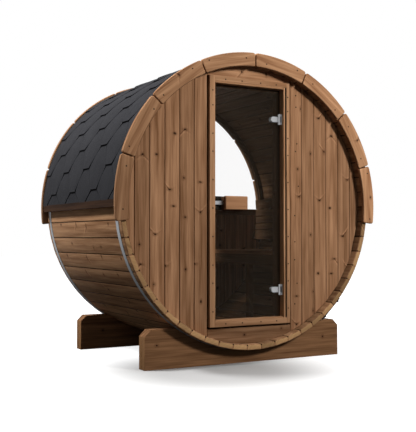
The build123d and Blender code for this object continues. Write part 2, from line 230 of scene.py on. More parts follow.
def solid_place(axis):
    """The same on a carried-over solid, which is one mesh for many boards: the grain follows one
    axis, and every BLOCK_WIDTH across it counts as one board, with a tone of its own. Across is
    one direction and part of the other, shifted so that it is never negative."""

    def place(graph):
        parts = graph.split(graph.spot())
        first, second = (parts[other] for other in range(3) if other != axis)
        across = first + second * BLOCK_LEAN + BLOCK_SHIFT
        block = across.math("SNAP", BLOCK_WIDTH)
        tone = graph.add("ShaderNodeTexWhiteNoise", {"noise_dimensions": "1D"}, {"W": block})
        return parts[axis], across - block - BLOCK_WIDTH / 2, block, tone, 0.0, 0.0

    return place


def knot_marks(graph, along, across, board, seed, knots, wings):
    """How much a point has of a knot's heart, ring and halo, and of its pale and its dark wings.
    Along a board, each cell of KNOT_PITCH metres draws three lots: whether it has a knot and wings,
    where across the board, and in which shape. Heart, ring and halo are smooth steps of the
    distance from the knot. A wing is one of the distance from a parabola, which rises from the
    knot towards the board's edge."""
    stretch = along * (1 / KNOT_PITCH) + seed
    sockets = {"W": stretch, "Scale": 1.0}
    cells = graph.add("ShaderNodeTexVoronoi", {"voronoi_dimensions": "1D"}, sockets, "W")
    lots = graph.split(Value(graph, cells.socket.node.outputs["Color"]))
    chosen = lots[0].step(1.0 - knots, 1.01 - knots)
    off_along = (stretch - cells) * KNOT_PITCH
    off_across = across - (lots[1] - 0.5) * KNOT_ROOM
    uneven = graph.noise(graph.point(along * 70.0, across * 110.0, board), 1.0, 2.0) - 0.5
    broken = graph.noise(graph.point(along * 30.0, across * 45.0, board), 1.0, 1.0) - 0.5

    # Some hearts are drawn out along the grain and some across it
    long_way = off_along * (1.3 - lots[2] * 0.7)
    wide_way = off_across * (lots[2] * 0.6 + 0.6)
    radial = distance(long_way, wide_way) + uneven * 0.009
    heart = (radial * (lots[1] * 0.7 + 0.75)).step(*KNOT_HEART) * chosen
    ring = radial.step(*KNOT_RING) * chosen
    halo = radial.step(*KNOT_HALO) * chosen

    # A knot's two wings differ in slope and strength, and each board has its own way up
    way = seed.math("FRACT").step(0.3, 0.301) * 2.0 - 1.0
    winged = (lots[0] * 17.0).math("FRACT").step(1.0 - wings, 1.01 - wings) * chosen
    spread = off_across.math("ABSOLUTE")
    right_side = off_across.step(-0.001, 0.001)
    slope = lots[2] + right_side - lots[2] * right_side * 2.0
    curve = spread * (slope * 0.7 + 0.15) + spread * spread * WING_BEND
    rise = off_along * way - curve + uneven * 0.014
    worn = (uneven + broken).step(-0.3, 0.05) * (slope * 0.85 + 0.15)
    strength = winged * worn * spread.step(*WING_REACH)
    pale_wing = (rise - WING_GAP).math("ABSOLUTE").step(*PALE_WING) * strength
    dark_wing = rise.math("ABSOLUTE").step(*DARK_WING) * strength * spread.step(*DARK_WING_REACH)
    return heart, ring, halo, pale_wing, dark_wing


def wood(
    name,
    light,
    dark,
    place,
    knots=0.5,
    wings=0.5,
    tone_range=0.3,
    end_colour=None,
    joint_shade=0.0,
    finish=None,
):
    """Heat-treated softwood: long soft streaks, fibres and year rings from light to dark, a tone
    for each board, and small dark knots. knots is the share of stretches with a knot, and wings
    the share of knots with wings, two strokes that bend towards the board's edges, pale beside
    dark. finish changes the colour and the shade in the joints at the end."""
    graph = Graph(bpy.data.materials.new(name))
    along, across, board, tone, end, side = place(graph)
    seed = board * BOARD_SHIFT
    marks = knot_marks(graph, along, across, board, seed, knots, wings)
    heart, ring, halo, pale_wing, dark_wing = marks

    # The grain swerves a little round a knot
    bent = across + halo * 0.003
    broad = graph.noise(graph.point(along * 1.9 + seed, bent * 30.0, board * 5.0), 1.0, 2.0)
    narrow = graph.point(along * 2.8 + seed, bent * 120.0, board * 9.0)
    streaks = graph.noise(narrow, 1.0, 3.0, 0.6)
    fibres = graph.noise(graph.point(along * 16.0 + seed, bent * 560.0, board), 1.0, 2.0)
    rings = (bent * 1100.0 + broad * 60.0).math("SINE")
    share = broad * 1.9 + streaks * 1.1 + fibres * 0.35 + rings * 0.04 - 1.2
    colour = graph.mix(share, linear(dark), linear(light))
    if end_colour:
        pores = graph.noise(graph.point(along * 60.0, across * 90.0, board), 3.0, 2.0)
        sawn = graph.mix(pores * 1.2 - 0.3, linear(end_colour), linear(dark))
        colour = graph.mix(end, colour, sawn)
    shade = tone * tone_range + (1.0 - tone_range / 2)
    grey = graph.add("ShaderNodeCombineColor", {}, {0: shade, 1: shade, 2: shade})
    colour = graph.mix(1.0, colour, grey, "MULTIPLY")
    paler = [min(255, WING_PALER * part) for part in light]
    colour = graph.mix(pale_wing * PALE_STRENGTH, colour, linear(paler))
    darkened = ring * RING_STRENGTH + dark_wing * DARK_STRENGTH
    colour = graph.mix(darkened, colour, linear(WING_DARK))
    colour = graph.mix(heart * HEART_STRENGTH, colour, linear(KNOT_DARK))
    joint = side.step(0.2, 0.7) * (1.0 - end) * joint_shade if joint_shade else 0.0
    if finish:
        colour, joint = finish(graph, colour, joint)
    if joint_shade:
        colour = graph.mix(joint, colour, linear(JOINT_DARK))
    return graph.surface(
        Base_Color=colour,
        Roughness=fibres * 0.12 + 0.56,
        Normal=graph.bump(streaks * 0.5 + fibres * 0.4 - heart * 0.8, GRAIN_RELIEF),
        Specular_IOR_Level=DULL,
    )


def rounded_bar(length, width, thickness, edge, corner=3, stations=2, plan=0.0):
    """Grid (station, round the section) of a bar's along, across and thick places, all ends and
    edges rounded. A section is a rounded rectangle. Near an end it draws in along a quarter circle,
    and its sides draw in along a second, larger one of radius plan, which rounds the bar's corners
    in plan."""
    bend = np.linspace(0, np.pi / 2, corner + 1)
    reach = max(edge, plan)
    steps = reach * (1 - np.cos(np.linspace(0, np.pi / 2, corner + (3 if plan else 1))))
    between = np.linspace(reach, length - reach, stations)[1:-1]
    along = np.concatenate([steps, between, length - steps[::-1]])
    from_end = np.minimum(along, length - along)
    draw = edge - np.sqrt(np.maximum(edge**2 - np.maximum(edge - from_end, 0) ** 2, 0))
    side_draw = plan - np.sqrt(np.maximum(plan**2 - np.maximum(plan - from_end, 0) ** 2, 0))
    angles = np.concatenate([bend + quarter * np.pi / 2 for quarter in range(4)])
    sign_across = np.repeat([1, -1, -1, 1], corner + 1)
    sign_thick = np.repeat([1, 1, -1, -1], corner + 1)
    radius = (edge - draw)[:, None]
    half_width = (width / 2 - edge - np.maximum(side_draw - draw, 0))[:, None]
    across = sign_across * half_width + radius * np.cos(angles)
    thick = sign_thick * (thickness / 2 - edge) + radius * np.sin(angles)
    return np.broadcast_to(along[:, None], across.shape) - length / 2, across, thick


def marked_mesh(name, points, faces, uv_name, places, marks):
    """A mesh with a UV map and marks, which are numbers for each point or face. Points, places and
    marks are lists of arrays, and a face's corner takes the place of its point."""
    mesh = bpy.data.meshes.new(name)
    mesh.from_pydata(np.concatenate(points), [], faces)
    corners = np.empty(len(mesh.loops), np.int32)
    mesh.loops.foreach_get("vertex_index", corners)
    uv = np.concatenate(places)[corners].astype(np.float32)
    mesh.uv_layers.new(name=uv_name).data.foreach_set("uv", uv.ravel())
    for label, domain, values in marks:
        values = np.concatenate(values).astype(np.float32)
        mesh.attributes.new(label, "FLOAT", domain).data.foreach_set("value", values)
    return mesh


def turn_outwards(mesh):
    """Faces point outwards, and shading is smooth over bends of less than 35 degrees."""
    shape = bmesh.new()
    shape.from_mesh(mesh)
    bmesh.ops.recalc_face_normals(shape, faces=shape.faces)
    shape.to_mesh(mesh)
    shape.free()
    mesh.shade_smooth()
    mesh.set_sharp_from_angle(angle=math.radians(35))


def put_on(name, mesh, body, material, replaced=()):
    """Makes a mesh a piece of the sauna: its finish and body, and hides the solids it replaces."""
    mesh.materials.append(material)
    piece = bpy.data.objects.new(name, mesh)
    bpy.context.scene.collection.objects.link(piece)
    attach(piece, body)
    if replaced:
        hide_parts(*replaced)


def boards(name, bars, body, material, replaced=()):
    """One piece from many boards. A board is its grid of points and of grain places, and its tone.
    Neighbouring stations are joined by quads, and each end is closed by one face. side is the share
    by which a point of the section faces sideways: 1 on the board's two sides, 0 on its faces."""
    points, faces, grain, number, tones, ends, sides = [], [], [], [], [], [], []
    count = 0
    for index, (grid, uv, tone) in enumerate(bars):
        rows, columns = grid.shape[:2]
        ids = count + np.arange(rows * columns).reshape(rows, columns)
        following = np.roll(ids, -1, axis=1)
        quads = np.stack([ids[:-1], following[:-1], following[1:], ids[1:]], axis=-1)
        quads = quads.reshape(-1, 4)
        faces += quads.tolist() + [ids[0][::-1].tolist(), ids[-1].tolist()]
        ends.append(np.repeat([0.0, 1.0], [len(quads), 2]))
        points.append(grid.reshape(-1, 3))
        grain.append(uv.reshape(-1, 2))
        number.append(np.full(ids.size, index + rng.random()))
        tones.append(np.full(ids.size, tone))
        quarter = np.linspace(0, np.pi / 2, columns // 4)
        sides.append(np.tile(np.concatenate([np.cos(quarter), np.sin(quarter)] * 2), rows))
        count += ids.size
    marks = (
        ("board", "POINT", number),
        ("tone", "POINT", tones),
        ("side", "POINT", sides),
        ("end_grain", "FACE", ends),
    )
    mesh = marked_mesh(name, points, faces, "grain", grain, marks)
    turn_outwards(mesh)
    put_on(name, mesh, body, material, replaced)


def painted_shade_inside(graph, colour, joint):
    """Painted shade on the staves' inner faces: they are darkened, twice as much behind the front
    wall as before it, for the dim room and the shaded recess.
    The joints' shade ends short of the end grain, but for the inner edge."""
    reach, depth = from_axis(graph)
    room = depth.step(*WALL_DEPTHS) * PAINTED_SHADE_SHARE + PAINTED_SHADE_SHARE
    painted_shade = reach.step(STAVE_INNER + 0.008, STAVE_INNER + 0.004) * room
    darker = graph.mix(painted_shade, colour, linear(PAINTED_SHADE_DARK))
    off_ends = depth.math("ABSOLUTE").step(-BARREL_FRONT - 0.005, -BARREL_FRONT - 0.014)
    inner_edge = reach.step(STAVE_INNER + 0.016, STAVE_INNER + 0.008)
    return darker, joint * off_ends.math("MAXIMUM", inner_edge)


stave_wood = wood(
    "stave_wood",
    STAVE_LIGHT,
    STAVE_DARK,
    board_place,
    knots=0.6,
    tone_range=0.65,
    end_colour=STAVE_END,
    joint_shade=0.95,
    finish=painted_shade_inside,
)
stave_pitch = 2 * math.pi / STAVE_COUNT
stave_thickness = STAVE_FACE - STAVE_INNER
stave_middle = (STAVE_FACE + STAVE_INNER) / 2
stave_width = 2 * stave_middle * math.tan(stave_pitch / 2) + SEAM_OVERLAP
stave_along, stave_across, stave_thick = rounded_bar(
    BARREL_BACK - BARREL_FRONT, stave_width, stave_thickness, STAVE_EDGE
)
# A flat stave: its sides lean so that they point at the barrel's axis, and a bead runs down one
# side, into a cove down the other, so both shift by the same parabola over the thickness
bead = STAVE_BEAD * (1 - (2 * stave_thick / stave_thickness) ** 2)
stave_out = stave_middle + stave_thick
stave_over = stave_across * stave_out / stave_middle + bead
for group in range(STAVE_COUNT // STAVES_PER_GROUP):
    bars = []
    for place in range(STAVES_PER_GROUP):
        turn = -math.pi / 2 + (group * STAVES_PER_GROUP + place) * stave_pitch
        x = stave_out * math.cos(turn) - stave_over * math.sin(turn)
        z = AXIS_HEIGHT + stave_out * math.sin(turn) + stave_over * math.cos(turn)
        grid = np.stack([x, stave_along, z], axis=-1)
        start = rng.random() * GRAIN_STOCK
        uv = np.stack([stave_along + start, stave_across + stave_thick], axis=-1)
        bars.append((grid, uv, rng.random()))
    node = f"barrel_staves_{group + 1}"
    boards(f"staves_group_{group + 1}", bars, CABIN, stave_wood, [node])


# Hoops
# Two stainless bands run round the barrel under the roof. Each is pulled tight by a threaded bolt
# between two ears, low on the right side.
BOLTS_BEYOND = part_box("hoop_front")[1].x + 0.0006
BOLT_BLACK = (34, 35, 37)
SMUDGE_DARKER = 0.78


def metal(name, colour, roughness, streak=0.0, bolts_beyond=None):
    """Drawn steel with fine lines along it, and smudges that are darker. Beyond a distance from
    the barrel's axis it is blackened bolts."""
    graph = Graph(bpy.data.materials.new(name))
    x, y, z = graph.split(graph.spot())
    lines = graph.noise(graph.point(x * 3.0, y * 900.0, z * 3.0), 1.0, 2.0)
    smudge = graph.noise(graph.spot(), 9.0, 3.0)
    darker = [SMUDGE_DARKER * part for part in colour]
    tone = graph.mix(smudge * 0.6, linear(colour), linear(darker))
    if bolts_beyond:
        reach, _ = from_axis(graph)
        beyond = reach.step(bolts_beyond, bolts_beyond + 0.001)
        tone = graph.mix(beyond, tone, linear(BOLT_BLACK))
    dullness = lines * streak + smudge * 0.1 + roughness
    return graph.surface(Base_Color=tone, Metallic=1.0, Roughness=dullness)


def dress(material, *names):
    """Gives carried-over solids their finish."""
    for name in names:
        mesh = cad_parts[name].data
        mesh.materials.clear()
        mesh.materials.append(material)


hoop_steel = metal("hoop_steel", (142, 144, 147), 0.36, 0.15, BOLTS_BEYOND)
dress(hoop_steel, "hoop_front", "hoop_rear")


# Roof
# A deck of narrow boards lies over the upper half of the barrel, and bitumen shingles with
# hexagonal tabs are nailed to it in courses. A dark board closes the edge above each side.
SHINGLE_LOW, SHINGLE_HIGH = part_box("shingles_right")
ROOF_FRONT = SHINGLE_LOW.y
ROOF_BACK = SHINGLE_HIGH.y
SHINGLE_TOP_RADIUS = SHINGLE_HIGH.z - AXIS_HEIGHT
EAVE_ANGLE = math.asin((SHINGLE_LOW.z - AXIS_HEIGHT) / SHINGLE_TOP_RADIUS)
ROOF_HALF_ARC = (math.pi / 2 - EAVE_ANGLE) * SHINGLE_TOP_RADIUS
EAVE_OVERHANG = 0.004
EAVE_LIP = 0.001
FIRST_COURSE = -0.232
COURSE_EXPOSURE = 0.1545
COURSE_LAP = 0.02
COURSE_RISE = 0.0036
COURSE_ROWS = 9
COURSE_SHIFT = 1.7
# A course leans down by one COURSE_RISE in every COURSE_EXPOSURE, this many times at most
COURSE_DEPTH = 2.2
TAB_PITCH = 0.4
TAB_FLAT = 0.1
TAB_SLANT = TAB_PITCH / 2 - TAB_FLAT
# Half a tab's width at its flat, and at the slot above its slants
TAB_TIP = TAB_FLAT / 2
TAB_ROOT = TAB_TIP + TAB_SLANT
FIRST_TAB_MIDDLE = -0.328
SHINGLE_THICKNESS = 0.0034
CUT_EDGE_SHADOW_SPREAD = 0.0072
CORNER_SLACK = 0.001
BITUMEN_LIGHT = (63, 63, 66)
BITUMEN_DARK = (26, 26, 28)
BITUMEN_CUT_AND_SHADOW = (5, 5, 6)


def bitumen():
    """Mineral granules on black bitumen: a fine speckle, in patches a little lighter or darker, and
    bare black along the cut edges, which are widened to paint the shadow under each tab."""
    graph = Graph(bpy.data.materials.new("bitumen_shingle"))
    place = graph.add("ShaderNodeUVMap", {"uv_map": "sheet"})
    granules = graph.noise(place, 900.0, 2.0, 0.7)
    patches = graph.noise(place, 7.0, 2.0)
    share = granules * 0.8 + patches * 0.25
    colour = graph.mix(share, linear(BITUMEN_DARK), linear(BITUMEN_LIGHT))
    return graph.surface(
        Base_Color=graph.mix(graph.mark("cut_and_shadow"), colour, linear(BITUMEN_CUT_AND_SHADOW)),
        Roughness=granules * 0.1 + 0.82,
        Normal=graph.bump(granules, 0.0012),
        Specular_IOR_Level=DULL,
    )


def off_tab(y, middle):
    """How far each place lies before or behind its nearest tab's middle: the rest after whole
    pitches, measured from half a pitch before the tab."""
    return (y - middle + TAB_PITCH / 2) % TAB_PITCH - TAB_PITCH / 2


def course_edge(y, middle):
    """Height of a course's lower edge above its tabs' flats: nothing at a flat, then a straight
    slant up to the slot."""
    rise = (np.abs(off_tab(y, middle)) - TAB_TIP) / TAB_SLANT
    return np.clip(rise, 0, 1) * COURSE_EXPOSURE


def round_axis(radius, y, angle, side=1):
    """Points round the barrel's axis: radius times cosine to the side, and radius times sine up."""
    x = side * radius * np.cos(angle)
    return np.stack([x, y, AXIS_HEIGHT + radius * np.sin(angle)], axis=-1)


def shingle_courses(label, side, material):
    """All courses of one side. Each is a grid: lengthwise by the tabs' corners, and up the roof by
    its own height. Its outer face leans from the top of the course below down to the deck, and its
    first rows are its cut edge."""
    points, faces, sheet, cut_and_shadow = [], [], [], []
    count = 0
    for course in range(int((ROOF_HALF_ARC - FIRST_COURSE) / COURSE_EXPOSURE) + 1):
        start = FIRST_COURSE + course * COURSE_EXPOSURE
        upper = min(start + 2 * COURSE_EXPOSURE + COURSE_LAP, ROOF_HALF_ARC)
        middle = FIRST_TAB_MIDDLE + (course % 2) * TAB_PITCH / 2
        tabs = middle + TAB_PITCH * np.arange(-3, 5)
        breaks = [tabs + way * half for way in (-1, 1) for half in (TAB_TIP, TAB_ROOT)]
        y = np.unique(np.round(np.concatenate([[ROOF_FRONT, ROOF_BACK], *breaks]), 5))
        y = y[(y >= ROOF_FRONT) & (y <= ROOF_BACK)]
        lower = np.maximum(start + course_edge(y, middle), -EAVE_OVERHANG)
        rise = np.linspace(0, 1, COURSE_ROWS)[:, None]
        arc = lower + (np.maximum(upper, lower) - lower) * rise
        drop = np.clip((arc - start) / COURSE_EXPOSURE, 0, COURSE_DEPTH) * COURSE_RISE
        radius = SHINGLE_TOP_RADIUS - drop
        # The cut edge leans outwards, down and to the tab's own side, so its bare black reads wider
        # than
        # the sheet is thick: partly real cut edge, partly painted shadow under the tab
        off = off_tab(y, middle)
        slants = (np.abs(off) > TAB_TIP - CORNER_SLACK) & (np.abs(off) < TAB_ROOT + CORNER_SLACK)
        foot = np.clip(y + np.sign(off) * slants * CUT_EDGE_SHADOW_SPREAD, ROOF_FRONT, ROOF_BACK)
        foot_arc = np.maximum(arc[:1] - CUT_EDGE_SHADOW_SPREAD, -EAVE_OVERHANG - EAVE_LIP)
        y = np.concatenate([foot[None], np.broadcast_to(y, arc.shape)])
        arc = np.concatenate([foot_arc, arc])
        radius = np.concatenate([radius[:1] - SHINGLE_THICKNESS, radius])
        grid = round_axis(radius, y, EAVE_ANGLE + arc / SHINGLE_TOP_RADIUS, side)
        rows, columns = arc.shape
        ids = count + np.arange(rows * columns).reshape(rows, columns)
        quads = np.stack([ids[:-1, :-1], ids[:-1, 1:], ids[1:, 1:], ids[1:, :-1]], axis=-1)
        quads = quads.reshape(-1, 4)
        faces += (quads if side > 0 else quads[:, ::-1]).tolist()
        cut_and_shadow.append(np.arange(len(quads)) < columns - 1)
        points.append(grid.reshape(-1, 3))
        sheet.append(np.stack([y + course * COURSE_SHIFT, arc], axis=-1).reshape(-1, 2))
        count += ids.size
    name = f"shingle_courses_{label}"
    mesh = marked_mesh(name, points, faces, "sheet", sheet, [("cut_and_shadow", "FACE", cut_and_shadow)])
    put_on(name, mesh, CABIN, material, [f"shingles_{label}"])


bitumen_shingle = bitumen()
shingle_courses("right", 1, bitumen_shingle)
shingle_courses("left", -1, bitumen_shingle)
deck_wood = wood("deck_wood", (110, 82, 60), (74, 52, 37), solid_place(1))
eave_wood = wood("eave_wood", (64, 44, 31), (38, 25, 18), solid_place(1), knots=0.2)
dress(deck_wood, "roof_deck_left", "roof_deck_right")
dress(eave_wood, "eave_boards")


# Arched trim
# Eight boards at each end are sawn to the barrel's curve and screwed over the ends of the staves
# and of the roof. Their corners are rounded, and an open joint is left between them.
TRIM_LOW, TRIM_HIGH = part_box("front_trim")
TRIM_OUTER = TRIM_HIGH.x
TRIM_INNER = 0.936
TRIM_SPAN = math.radians(194.4)
TRIM_START = math.pi / 2 - TRIM_SPAN / 2
TRIM_JOINT = 0.007
TRIM_EDGE = 0.006
TRIM_CORNER = 0.015
NAIL_HEIGHT = 0.0006
TRIM_TONES = (1.2, 0.85, 0.9, 0.75, 0.6, 0.5, 0.35, 0.15)
TRIM_COUNT = len(TRIM_TONES)


def painted_shade_edge(graph, colour, joint):
    """Painted shade: the trim's inner edges are darkened, as the staves' inner faces are."""
    reach, _ = from_axis(graph)
    painted_shade = reach.step(TRIM_INNER + 0.007, TRIM_INNER + 0.002) * 0.55
    return graph.mix(painted_shade, colour, linear(PAINTED_SHADE_DARK)), joint


trim_wood = wood(
    "trim_wood",
    (190, 146, 110),
    (132, 92, 64),
    board_place,
    knots=0.22,
    tone_range=0.55,
    end_colour=(150, 112, 80),
    finish=painted_shade_edge,
)
trim_middle_radius = (TRIM_INNER + TRIM_OUTER) / 2
trim_pitch = TRIM_SPAN / TRIM_COUNT
# The boards stay a nail head's height below their outer side, so that the heads end there
trim_along, trim_across, trim_thick = rounded_bar(
    trim_pitch * trim_middle_radius - TRIM_JOINT,
    TRIM_OUTER - TRIM_INNER,
    TRIM_HIGH.y - TRIM_LOW.y - NAIL_HEIGHT,
    TRIM_EDGE,
    corner=4,
    stations=16,
    plan=TRIM_CORNER,
)
# Along the board becomes an angle round the barrel; the grain stays straight, along the chord
lean = trim_along / trim_middle_radius
radius = trim_middle_radius + trim_across
chord = radius * np.cos(lean) - trim_middle_radius
for label, inwards in (("front", 1), ("rear", -1)):
    node = f"{label}_trim"
    low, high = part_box(node)
    y = (low.y + high.y + inwards * NAIL_HEIGHT) / 2 + trim_thick
    bars = []
    for index, tone in enumerate(TRIM_TONES):
        grid = round_axis(radius, y, TRIM_START + (index + 0.5) * trim_pitch + lean)
        start = rng.random() * GRAIN_STOCK
        uv = np.stack([radius * np.sin(lean) + start, chord + trim_thick], axis=-1)
        bars.append((grid, uv, tone))
    boards(f"{label}_trim_boards", bars, CABIN, trim_wood, [node])


# Front wall
# Tongue-and-groove boards stand upright in the barrel on both sides of the door, with a groove
# at every joint. One board lies across above the door frame, and one below it.
WALL_LOW, WALL_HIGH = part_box("front_wall_right")
WALL_RADIUS = 0.9467
BOARD_SEAMS = (0.336, 0.434, 0.542, 0.650, 0.758, 0.866, 0.9457)
GROOVE = 0.0045
WALL_STOCK = 7
# Painted light and shade: the header board is made lighter to offset the shadow that the trim casts
# on it, and the sill board darker, as shade
HEADER_TONE_PAINTED_LIGHT = 1.1
SILL_TONE_PAINTED_SHADE = -0.6
wall_wood = wood(
    "wall_wood",
    (182, 138, 104),
    (122, 85, 58),
    board_place,
    knots=0.8,
    wings=0.6,
    tone_range=0.35,
    joint_shade=0.45,
)


def upright_boards(seams, side, front, back, highest=np.inf):
    """Boards between neighbouring seams. Each runs from the barrel's curve below up to the curve
    above, or to a level. The curve's height over the axis is the root of what is left of the
    radius's square, which the outermost edge just exceeds."""
    bars = []
    for left, right in zip(seams[:-1], seams[1:]):
        width = right - left + SEAM_OVERLAP
        along, across, thick = rounded_bar(1.0, width, back - front, GROOVE, corner=1)
        x = side * ((left + right) / 2 + across)
        reach = np.sqrt(np.maximum(WALL_RADIUS**2 - x**2, 1e-5))
        bottom = AXIS_HEIGHT - reach
        top = np.minimum(AXIS_HEIGHT + reach, highest)
        z = bottom + (top - bottom) * (along + 0.5)
        grid = np.stack([x, (front + back) / 2 + thick, z], axis=-1)
        uv = np.stack([z + rng.random() * WALL_STOCK, across + thick], axis=-1)
        bars.append((grid, uv, rng.random()))
    return bars


def level_board(node, above, tone):
    """One board across the barrel. One edge is straight, and the other, which is its upper one
    above the door, follows the barrel's curve."""
    low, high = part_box(node)
    along, across, thick = rounded_bar(
        high.x - low.x, 1.0, high.y - low.y, GROOVE, corner=1, stations=14
    )
    reach = np.sqrt(WALL_RADIUS**2 - along**2)
    bottom = low.z if above else AXIS_HEIGHT - reach
    top = AXIS_HEIGHT + reach if above else high.z
    z = bottom + (top - bottom) * (across + 0.5)
    grid = np.stack([along, (low.y + high.y) / 2 + thick, z], axis=-1)
    uv = np.stack([along + rng.random() * GRAIN_STOCK, z - (low.z + high.z) / 2 + thick], axis=-1)
    return grid, uv, tone


for label, side in (("right", 1), ("left", -1)):
    node = f"front_wall_{label}"
    bars = upright_boards(BOARD_SEAMS, side, WALL_LOW.y, WALL_HIGH.y)
    boards(f"wall_boards_{label}", bars, CABIN, wall_wood, [node])
for name, node, above, tone in (
    ("header_board", "front_header", True, HEADER_TONE_PAINTED_LIGHT),
    ("sill_board", "front_sill_board", False, SILL_TONE_PAINTED_SHADE),
):
    bars = [level_board(node, above, tone)]
    boards(name, bars, CABIN, wall_wood, [node])


# Door frame
# Two stiles, a head and a sill of planed timber, each a casing with a board over its front that
# stands proud of the wall. They are nailed, as the wall and the trim are, with small dark heads.
FRAME_EDGE = 0.002
FRAME_PROUD = 0.014
FRAME_LIP = 0.005
# The casing shows beside the cover by these widths, wider on the hinge side, where it carries a
# strip and a seal
QUIRK = 0.008
HINGE_QUIRK = 0.024
HINGE_STRIP = 0.013
HEAD_STRIP = 0.014
STRIP_INSET = 0.002
SEAL_EDGE = 0.001
NAIL_RADIUS = 0.0052
NAIL_SIDES = 12
# Each ring of a nail head, as shares of its radius and height
NAIL_RINGS = np.array([[1.0, 0.0], [0.95, 0.6], [0.6, 0.95]])
NAIL_LEVELS = (0.36, 0.55, 0.67, 0.86, 1.05, 1.24, 1.43, 1.55, 1.74, 1.84)
CROSS_NAILS = (-0.2, -0.07, 0.08, 0.21)
CROSS_NAIL_LEVELS = (0.276, 1.92)
WALL_NAILS = 0.39
WALL_STRAY = (0.02, 0.05)
TRIM_NAILS = (0.14, 0.84)
TRIM_STRAY = (0.03, 0.027)
frame_wood = wood(
    "frame_wood", (198, 153, 116), (146, 105, 74), board_place, knots=0.08, tone_range=0.2
)
# Painted shade: the door posts, stop and cross rails are a darker wood, for the dim room behind the
# glass
post_wood_painted_shade = {
    axis: wood(f"post_wood_painted_shade_{axis}", (88, 65, 48), (58, 42, 31), solid_place(axis), knots=0.3)
    for axis in (0, 2)
}
dress(post_wood_painted_shade[2], "door_posts", "door_stop")
dress(post_wood_painted_shade[0], "door_cross_rails")


def straight_bar(low, high, axis, edge, tone, corner=3):
    """A straight board that fills a box, with its grain along one axis."""
    size = np.array(high) - np.array(low)
    middle = (np.array(high) + np.array(low)) / 2
    across_axis, thick_axis = [other for other in (0, 2, 1) if other != axis]
    along, across, thick = rounded_bar(
        size[axis], size[across_axis], size[thick_axis], edge, corner=corner
    )
    grid = np.empty((*along.shape, 3))
    grid[..., axis] = middle[axis] + along
    grid[..., across_axis] = middle[across_axis] + across
    grid[..., thick_axis] = middle[thick_axis] + thick
    uv = np.stack([along + rng.random() * GRAIN_STOCK, across + thick], axis=-1)
    return grid, uv, tone


stiles_low, stiles_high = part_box("door_frame_stiles")
stile_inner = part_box("door_frame_head")[1].x
casing_front = stiles_low.y + FRAME_PROUD
strip_front = stiles_low.y + STRIP_INSET
opening_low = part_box("door_frame_sill")[1].z - QUIRK
opening_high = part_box("door_frame_head")[0].z + HEAD_STRIP

bars = []
for side, quirk, tone in ((-1, QUIRK, 0.35), (1, HINGE_QUIRK, 0.75)):
    casing = (stile_inner, stiles_high.x, casing_front, stiles_high.y)
    cover = (stile_inner + quirk, stiles_high.x + FRAME_LIP, stiles_low.y, casing_front)
    for inner, outer, front, back in (casing, cover):
        left, right = sorted((side * inner, side * outer))
        low, high = (left, front, stiles_low.z), (right, back, stiles_high.z)
        bars.append(straight_bar(low, high, 2, FRAME_EDGE, tone))
# On the hinge side and at the head the casing comes forward almost as far as the cover
low = (stile_inner, strip_front, opening_low)
high = (stile_inner + HINGE_STRIP, casing_front, opening_high)
bars.append(straight_bar(low, high, 2, FRAME_EDGE, 1.1))
node = "door_frame_stiles"
boards(f"{node}_boards", bars, CABIN, frame_wood, [node])

for node, above, tone in (("door_frame_head", True, 0.5), ("door_frame_sill", False, -0.1)):
    low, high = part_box(node)
    bars = [straight_bar((low.x, casing_front, low.z), high, 0, FRAME_EDGE, tone)]
    bottom, top = (opening_high, high.z) if above else (low.z, opening_low)
    left, right = low.x - QUIRK, high.x + HINGE_QUIRK
    cover = (left, low.y, bottom), (right, casing_front, top)
    bars.append(straight_bar(*cover, 0, FRAME_EDGE, tone))
    if above:
        strip = (left, strip_front, low.z), (high.x, casing_front, opening_high)
        bars.append(straight_bar(*strip, 0, FRAME_EDGE, 0.8))
    boards(f"{node}_boards", bars, CABIN, frame_wood, [node])


def rubber():
    """Black rubber: near black, dull, with a faint bloom."""
    graph = Graph(bpy.data.materials.new("black_seal"))
    bloom = graph.noise(graph.spot(), 60.0, 3.0)
    colour = graph.mix(bloom, linear((12, 11, 10)), linear((30, 27, 25)))
    return graph.surface(
        Base_Color=colour, Roughness=bloom * 0.2 + 0.6, Specular_IOR_Level=0.03
    )


# A black seal lies between the strip on the hinge side and the cover
low = (stile_inner + HINGE_STRIP, strip_front + STRIP_INSET, opening_low)
high = (stile_inner + HINGE_QUIRK, casing_front, opening_high)
bars = [straight_bar(low, high, 2, SEAL_EDGE, 0.5)]
boards("frame_seal", bars, CABIN, rubber())


def stray(reach):
    """A step to either side, at random within a reach."""
    return rng.uniform(-reach, reach)


def nail_heads(name, places, material):
    """Small domed heads that face forwards, each a fan of rings round its centre, at places
    (x, y, z). A ring is a circle in x and z, moved forwards by its share of the height."""
    turn = np.arange(NAIL_SIDES) * 2 * math.pi / NAIL_SIDES
    reach = NAIL_RINGS[:, :1] * NAIL_RADIUS
    rise = np.repeat(NAIL_RINGS[:, 1:] * NAIL_HEIGHT, NAIL_SIDES, axis=1)
    rings = np.stack([reach * np.cos(turn), -rise, reach * np.sin(turn)], axis=-1)
    dome = np.concatenate([rings.reshape(-1, 3), [[0, -NAIL_HEIGHT, 0]]])
    points = np.array(places)[:, None, :] + dome
    tip = len(dome) - 1
    ids = np.arange(tip).reshape(-1, NAIL_SIDES)
    following = np.roll(ids, -1, axis=1)
    quads = np.stack([ids[:-1], ids[1:], following[1:], following[:-1]], axis=-1)
    fan = [[a, tip, b] for a, b in zip(ids[-1].tolist(), following[-1].tolist())]
    one_head = quads.reshape(-1, 4).tolist() + fan
    firsts = range(0, len(places) * len(dome), len(dome))
    faces = [[first + corner for corner in face] for first in firsts for face in one_head]
    mesh = bpy.data.meshes.new(name)
    mesh.from_pydata(points.reshape(-1, 3), [], faces)
    turn_outwards(mesh)
    put_on(name, mesh, CABIN, material)


nail_places = [(x, stiles_low.y, z) for x in CROSS_NAILS for z in CROSS_NAIL_LEVELS]
for side, quirk in ((-1, QUIRK), (1, HINGE_QUIRK)):
    stile_middle = side * (stile_inner + quirk + stiles_high.x) / 2
    nail_places += [(stile_middle, stiles_low.y, level) for level in NAIL_LEVELS]
